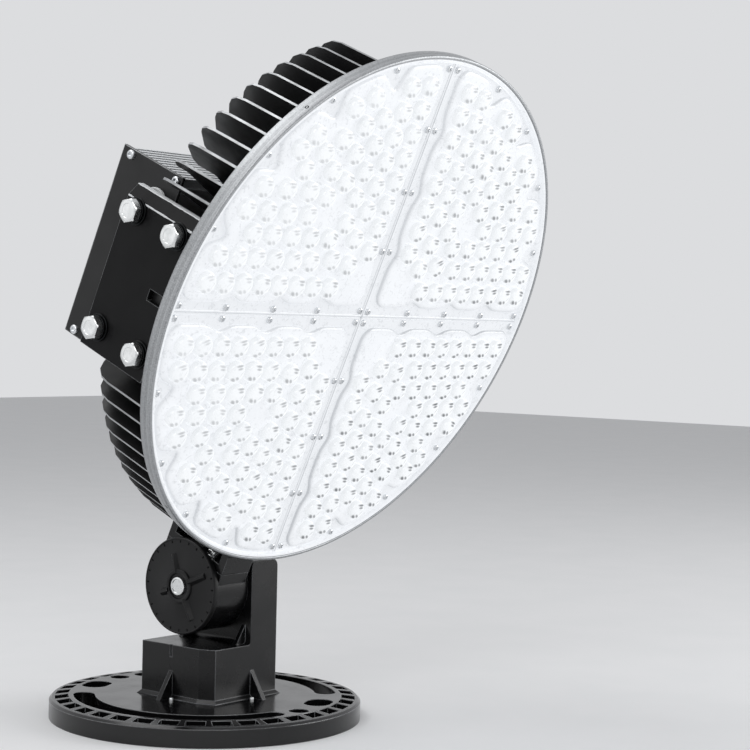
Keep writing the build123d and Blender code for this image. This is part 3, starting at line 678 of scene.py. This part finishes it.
screw_places = (65.5, 124.0, 184.0)
screw_angles = (18.0, 36.0, 54.0, 72.0)
plate_top = -3.2
lip_side, lip_top = plate_top + 0.5, plate_top + 0.9
plate_outline = quarter(
    edge=0.3, rim=249.8, corner=2.0, bump_depth=0.0, bump_places=screw_places, notch_depth=0.0,
    notch_angles=screw_angles, bend=9.0)
plate_insets = (0, 0, 0.4, 1.5, 2.1, 2.4)
plate_heights = (-6.0, lip_side, lip_top, lip_top, lip_side, plate_top)
plate = skin(raised(plate_outline, plate_insets, plate_heights))
plate_lines = by_ring((0.5, 0.5, 0.2, 0.05, 0.35, 0.1), plate_outline)
field_outline = quarter(
    edge=10.5, rim=245.0, corner=14.0, bump_depth=5.5, bump_places=screw_places, notch_depth=18.0,
    notch_angles=screw_angles, bend=11.0)
field_insets = (0, 0, 0.5, 1.5, 3.2, 5.5, 7.0)
field_heights = (plate_top, -1.9, -1.1, -0.5, -0.15, 0.0, 0.0)
field = skin(raised(field_outline, field_insets, field_heights))
field_lines = by_ring((0.55, 0.7, 0.55, 0.25, 0.08, 0.0, 0.0), field_outline)
rim_loop = [
    (247.4, -4.0), (250.4, -4.0), (250.4, 0.9), (250.1, 1.4), (249.4, 1.6), (248.2, 1.2), (247.5, 0.2)]
lens_rim = skin(lathe(rim_loop, 256), loop=True)

# Clear polycarbonate over lit diodes looks white: an even glow under a gloss, with painted shade on curved
# walls and in faint refraction patches.
lit_polycarbonate, tree, shader, tint = lit("lit_polycarbonate", "#eceef1", "#e1e4e8", refraction_shade=0.22)
lit_from(tree, shader, tint)
plates = joined(*[spun(plate, turns) for turns in range(4)], lens_rim)
lens_flanges = make(
    "lens_flanges", seated(plates, *on_head), lit_polycarbonate, "head", "lens_strip", "lens_cross")
tagged(lens_flanges, "line", np.concatenate([np.tile(plate_lines, 4), np.zeros(len(lens_rim[0]))]))
for turns, side in enumerate(("right_upper", "left_upper", "left_lower", "right_lower")):
    side_field = spun(field, turns)
    lens_field = make(
        "lens_field_" + side, seated(side_field, *on_head), lit_polycarbonate, "head", "lens_plastic",
        "lens_panel_" + side)
    tagged(lens_field, "line", field_lines * dimmed(side_field[0]))


# Lens beads. One dome of polycarbonate over each diode, moulded with the field in staggered rows along both
# arms. A bead's ends bend the view away from its diode, which is painted as shade.
def all_round(places):
    """The same places in all four quarters of the lens."""
    return np.vstack([places @ quarter_turn(turns) for turns in range(4)])


# Each row along an arm has a distance from the arm, a first bead, a pitch and a count.
bead_rows = [
    (29.2, 66.2, 22.5, 8), (52.8, 103.8, 23.2, 6), (75.0, 90.2, 24.6, 5), (95.4, 128.3, 25.8, 4),
    (116.5, 136.6, 28.8, 3),
]
row_beads = np.vstack([
    np.stack([first + pitch * np.arange(count), np.full(count, rise)], axis=-1)
    for rise, first, pitch, count in bead_rows])
odd_beads = [(76.7, 55.8), (151.9, 135.0), (166.0, 152.0)]
half_field = np.vstack([row_beads, odd_beads])
on_diagonal = np.array([(51.7, 51.7), (113.0, 113.0)])
quarter_beads = np.vstack([half_field, half_field[:, ::-1], on_diagonal])
bead_spots = all_round(np.hstack([quarter_beads, np.zeros((len(quarter_beads), 1))]))
bead_rings = lathe([(10.0, -0.4), (9.8, 3.6), (9.0, 5.2), (7.4, 5.9), (3.6, 6.2)], 12)
bead = skin(bead_rings)

# The same glowing plastic, a little whiter over its diode, with dark dashes near each bead's top and bottom:
# painted shade where its ends bend the view off the diode. Each dash has a middle, half sizes, a lean and a
# strength.
dashes = [
    ((1.4, 6.6), (4.6, 1.2), 0.0, 1.0), ((2.2, 3.8), (3.2, 1.2), 0.0, 0.9),
    ((-4.0, -6.2), (3.0, 1.7), -0.6, 1.0), ((0.8, -5.4), (2.6, 1.5), -0.6, 0.9),
    ((5.4, -1.2), (3.4, 0.7), 0.9, 0.4),
]
bead_polycarbonate, tree, shader, tint = lit("bead_polycarbonate", "#eff1f3", "#e6e9ec", refraction_shade=0.12)
local = add(tree, "ShaderNodeUVMap", uv_map="bead").outputs[0]
mark = 0.0
for middle, half, lean, weight in dashes:
    away = add(tree, "ShaderNodeMapping", {
        "Vector": local, "Location": (*middle, 0), "Rotation": (0, 0, lean), "Scale": (*half, 1),
    }, vector_type="TEXTURE").outputs[0]
    away = add(tree, "ShaderNodeVectorMath", {0: away}, operation="LENGTH").outputs["Value"]
    dash = add(tree, "ShaderNodeMapRange", {0: away, 1: 1.3, 2: 0.5, 3: 0.0, 4: weight}).outputs[0]
    mark = add(tree, "ShaderNodeMath", {0: mark, 1: dash}, operation="MAXIMUM").outputs[0]
strength = add(tree, "ShaderNodeAttribute", attribute_name="shade").outputs["Fac"]
mark = add(tree, "ShaderNodeMath", {0: mark, 1: strength}, operation="MULTIPLY").outputs[0]
marked = add(tree, "ShaderNodeMix", {0: mark, 6: tint, 7: linear("#585b5f")}, data_type="RGBA").outputs[2]
lit_from(tree, shader, marked)
lens_beads = make(
    "lens_beads", seated(copies(bead, bead_spots), *on_head), bead_polycarbonate, "head", "lens_plastic")
corner_points = np.empty(len(lens_beads.data.loops), int)
lens_beads.data.loops.foreach_get("vertex_index", corner_points)
# Each bead's dashes lean a little by chance, and are a little stronger or weaker.
chance = np.random.default_rng(7)
leans = chance.normal(0, 0.16, len(bead_spots))
strengths = dimmed(bead_spots) * chance.uniform(0.7, 1.0, len(bead_spots))
turned = np.array([(np.cos(leans), np.sin(leans)), (-np.sin(leans), np.cos(leans))]).transpose(2, 0, 1)
bead_map = (bead[0][:, :2] @ turned).reshape(-1, 2)[corner_points]
lens_beads.data.uv_layers.new(name="bead").data.foreach_set("uv", bead_map.ravel().astype(np.float32))
tagged(lens_beads, "shade", np.repeat(strengths, len(bead[0])))
# Painted shade: a faint grey round each bead's foot.
bead_lines = by_ring((0.18, 0.1, 0.02, 0.0, 0.0), bead_rings[0])
tagged(lens_beads, "line", np.tile(bead_lines, len(bead_spots)))

# Lens screws. Small stainless pan-head screws along both arms, at the centre and round the rim, which
# hold the mouldings down.
arm_gap = 5.2
arm_end_gap, arm_end = 6, 241.5
rim_reach = 243.5
pan_head = [(3.3, plate_top), (3.3, -2.1), (2.9, -1.3), (2.2, -0.9), (1.4, -0.9), (1.3, -1.8)]
arm_screws = [(side * arm_gap, reach, 0) for reach in screw_places for side in (-1, 1)]
end_screws = [(-arm_end_gap, arm_end, 0), (arm_end_gap, arm_end, 0)]
rim_screws = [(rim_reach * np.cos(turn), rim_reach * np.sin(turn), 0) for turn in np.radians(screw_angles)]
hub_screws = [(6.2, 5.5, 0)]
screw_spots = all_round(np.array(arm_screws + end_screws + rim_screws + hub_screws))
# Stainless steel, cold headed and tumbled: a cool silver with soft bright reflections.
stainless_steel = plated("stainless_steel", "#eceef0", "#cfd1d3", roughness=0.28, cloud_mm=4)
make(
    "lens_screws", seated(copies(skin(lathe(pan_head, 12)), screw_spots), *on_head), stainless_steel,
    "head", "zinc_steel")


# Side brackets. Bent steel plates in black powder coat on the heat sink's pads, each held by four
# zinc-plated hex bolts with spring and flat washers.
def paint_bend_highlights(material, rises, half_width):
    """Paints pale lines on a coat as painted highlight along bends: full where the head's own height is
    within half a width of a rise. The half width shrinks to half in patches."""
    tree = material.node_tree
    base = tree.nodes["Principled BSDF"].inputs["Base Color"]
    spot = to_head(tree, add(tree, "ShaderNodeTexCoord").outputs["Object"])
    height = add(tree, "ShaderNodeSeparateXYZ", {0: spot}).outputs[1]
    highlight_patches = add(tree, "ShaderNodeTexNoise", {"Vector": spot, "Scale": 1 / 9, "Detail": 3.0}).outputs[0]
    width = add(tree, "ShaderNodeMapRange", {
        0: highlight_patches, 1: 0.3, 2: 0.6, 3: 0.5 * half_width, 4: half_width}).outputs[0]
    for rise in rises:
        away = add(tree, "ShaderNodeMath", {0: height, 1: rise}, operation="SUBTRACT").outputs[0]
        away = add(tree, "ShaderNodeMath", {0: away}, operation="ABSOLUTE").outputs[0]
        bare_and_highlit = add(tree, "ShaderNodeMath", {0: away, 1: width}, operation="LESS_THAN").outputs[0]
        tint = add(tree, "ShaderNodeMix", {
            0: bare_and_highlit, 6: base.links[0].from_socket, 7: linear("#d5d7d9")}, data_type="RGBA").outputs[2]
        tree.links.new(tint, base)


def on_side(shape, side, face, rises, depths):
    """Copies of a fastener at each rise and depth on one side of the head, standing out from a face."""
    spots = [(-side * depth, rise, 0) for rise in rises for depth in depths]
    return seated(copies(shape, spots), lens_centre + side * face * across, -side * lens_normal, head_up)


bend_foot, bend_top = 66.0, 77.0
# Powder coat on bent plate: a flat dull black with pale edges, partly rubbed wear and partly painted
# highlight, and painted highlight lines along the bends.
bent_plate = coated(
    "black_coated_bent_plate", "#0d0d0e", "#9c9ea0", edge_mm=1.2, least_wear_and_highlight=0.35, roughness=0.5,
    specular=0.15, peel_mm=2.2, peel_height_mm=0.05)
paint_bend_highlights(bent_plate, (bend_foot, bend_top), half_width=0.9)
dress(bent_plate, "side_bracket_left", "side_bracket_right")
bracket_face = 243.0
hex_width = 19
bolt_rows, bolt_columns = (57.0, -50.5), (-79.5, -26.0)
flat_washer = [(9.6, 0), (11.7, 0), (12, 0.3), (12, 1.7), (11.7, 2), (9.6, 2)]
spring_washer = [(8.4, 2.05), (10.2, 2.05), (10.5, 2.3), (10.5, 3.7), (10.2, 3.95), (8.4, 3.95)]
washers = joined(skin(lathe(flat_washer, 40)), skin(lathe(spring_washer, 40)))
bracket_bolt = skin(hexed(chamfered(hex_width, 4.0, 11.5) + [(6.2, 11.5), (5.9, 11.1)], hex_width))
for side, name in ((-1, "left"), (1, "right")):
    make(
        "bracket_hex_bolts_" + name, on_side(bracket_bolt, side, bracket_face, bolt_rows, bolt_columns),
        zinc_plated_steel, "head", "zinc_steel", "bracket_bolts_" + name, smooth_to=20)
    # The washers are dark steel, which also paints the shade under the bolt heads.
    make(
        "bracket_washers_" + name, on_side(washers, side, bracket_face, bolt_rows, bolt_columns),
        dark_steel, "head", "zinc_steel")

# Driver housing. A ribbed aluminium extrusion with a natural mill finish, drawn out along its length.
# Black coated end plates close it, with a pan-head screw at each corner.

# Mill finish is bare metal from the die: pale, with fine streaks along the draw and a broad soft gloss.
mill_aluminium, tree, shader, place = finish_of("mill_finish_aluminium")
drawn = add(tree, "ShaderNodeMapping", {"Vector": to_head(tree, place), "Scale": (0.02, 1, 1)}).outputs[0]
# Die lines are about 0.2 mm, too fine to show here, so they are drawn at 1.5 mm.
streak = add(tree, "ShaderNodeTexNoise", {"Vector": drawn, "Scale": 1 / 1.5, "Detail": 4.0}).outputs[0]
tint = add(tree, "ShaderNodeMix", {
    0: streak, 6: linear("#f4f5f6"), 7: linear("#dddfe0")}, data_type="RGBA").outputs[2]
tree.links.new(tint, shader.inputs["Base Color"])
gloss = add(tree, "ShaderNodeMapRange", {0: streak, 1: 0.3, 2: 0.7, 3: 0.44, 4: 0.58}).outputs[0]
tree.links.new(gloss, shader.inputs["Roughness"])
bump = add(tree, "ShaderNodeBump", {"Strength": 0.3, "Distance": 0.05 * mm, "Height": streak}).outputs[0]
tree.links.new(bump, shader.inputs["Normal"])
shader.inputs["Metallic"].default_value = 1.0
dress(mill_aluminium, "driver_housing")
# Powder coat on cut plate: a satin black, bright along its sharp edges, partly rubbed wear and partly a
# painted glint.
black_plate = coated(
    "black_coated_steel_plate", "#0c0c0d", "#d8dadc", edge_mm=1.8, least_wear_and_highlight=0.4, roughness=0.36,
    specular=0.35, peel_mm=2.2, peel_height_mm=0.05)
dress(black_plate, "driver_end_plate_left", "driver_end_plate_right")
dress(black_powder_coat, "driver_standoffs")
end_face = 200.0
end_rows, end_columns = (-84, 84), (-148.5, -88)
end_screw = skin(lathe([(4.3, 0), (4.3, 1.4), (3.9, 2.3), (3.1, 2.8), (2.3, 2.9), (2.2, 1.2)], 20))
for side, name in ((-1, "left"), (1, "right")):
    make(
        "end_plate_screws_" + name, on_side(end_screw, side, end_face, end_rows, end_columns),
        stainless_steel, "head", "zinc_steel")

# Cable gland. A light grey nylon gland on the dial-side end plate: a hex collar, a seal ring and a
# domed cap with grip ribs, screwed together and left empty.
gland_rise, gland_depth = 57.0, -104.0
gland_place = lens_centre - end_face * across + gland_rise * head_up + gland_depth * lens_normal
collar_width = 23
cap_radius, grip_height, grip_count, cap_sides = 10.6, 0.4, 24, 96
gland_foot = skin(lathe([(13.4, 0), (13.8, 0.4), (13.8, 2.4), (13.2, 3.0), (11, 3.0)], 48))
collar = skin(hexed(chamfered(collar_width, 2.8, 9), collar_width))
seal = skin(lathe([(11.2, 6.6), (11.6, 7.0), (11.6, 7.6), (11.2, 8.0)], 48))
cap_profile = [
    (10.2, 7), (cap_radius, 7.3), (cap_radius, 15.5), (10.2, 17), (9.2, 18.6), (7.6, 19.6), (5.8, 20),
    (5.4, 19.8), (5.2, 15)]
cap = lathe(cap_profile, cap_sides)
# The grip ribs are a cosine round the cap's wall, which fades out over its shoulder.
grip_turn = np.arange(cap_sides) / cap_sides * 2 * np.pi
grip = np.outer([0, 1, 1, 0.6, 0, 0, 0, 0, 0], grip_height * np.cos(grip_count * grip_turn))
cap[..., :2] *= 1 + (grip / cap_radius)[..., None]
# Moulded grey nylon: light grey and slightly cloudy, with a dull sheen.
grey_nylon, tree, shader, place = finish_of("light_grey_nylon")
cloud = add(tree, "ShaderNodeTexNoise", {"Vector": place, "Scale": 1 / (6 * mm), "Detail": 4.0}).outputs[0]
tint = add(tree, "ShaderNodeMix", {
    0: cloud, 6: linear("#d6d8d9"), 7: linear("#c3c5c6")}, data_type="RGBA").outputs[2]
tree.links.new(tint, shader.inputs["Base Color"])
fleck = add(tree, "ShaderNodeTexNoise", {"Vector": place, "Scale": 1 / (0.9 * mm), "Detail": 2.0}).outputs[0]
bump = add(tree, "ShaderNodeBump", {"Strength": 0.3, "Distance": 0.04 * mm, "Height": fleck}).outputs[0]
tree.links.new(bump, shader.inputs["Normal"])
shader.inputs["Roughness"].default_value = 0.45
gland = joined(gland_foot, collar, seal, skin(cap))
make(
    "gland_and_cap", seated(gland, gland_place, lens_normal, head_up), grey_nylon, "head", "grey_gland",
    "cable_gland")
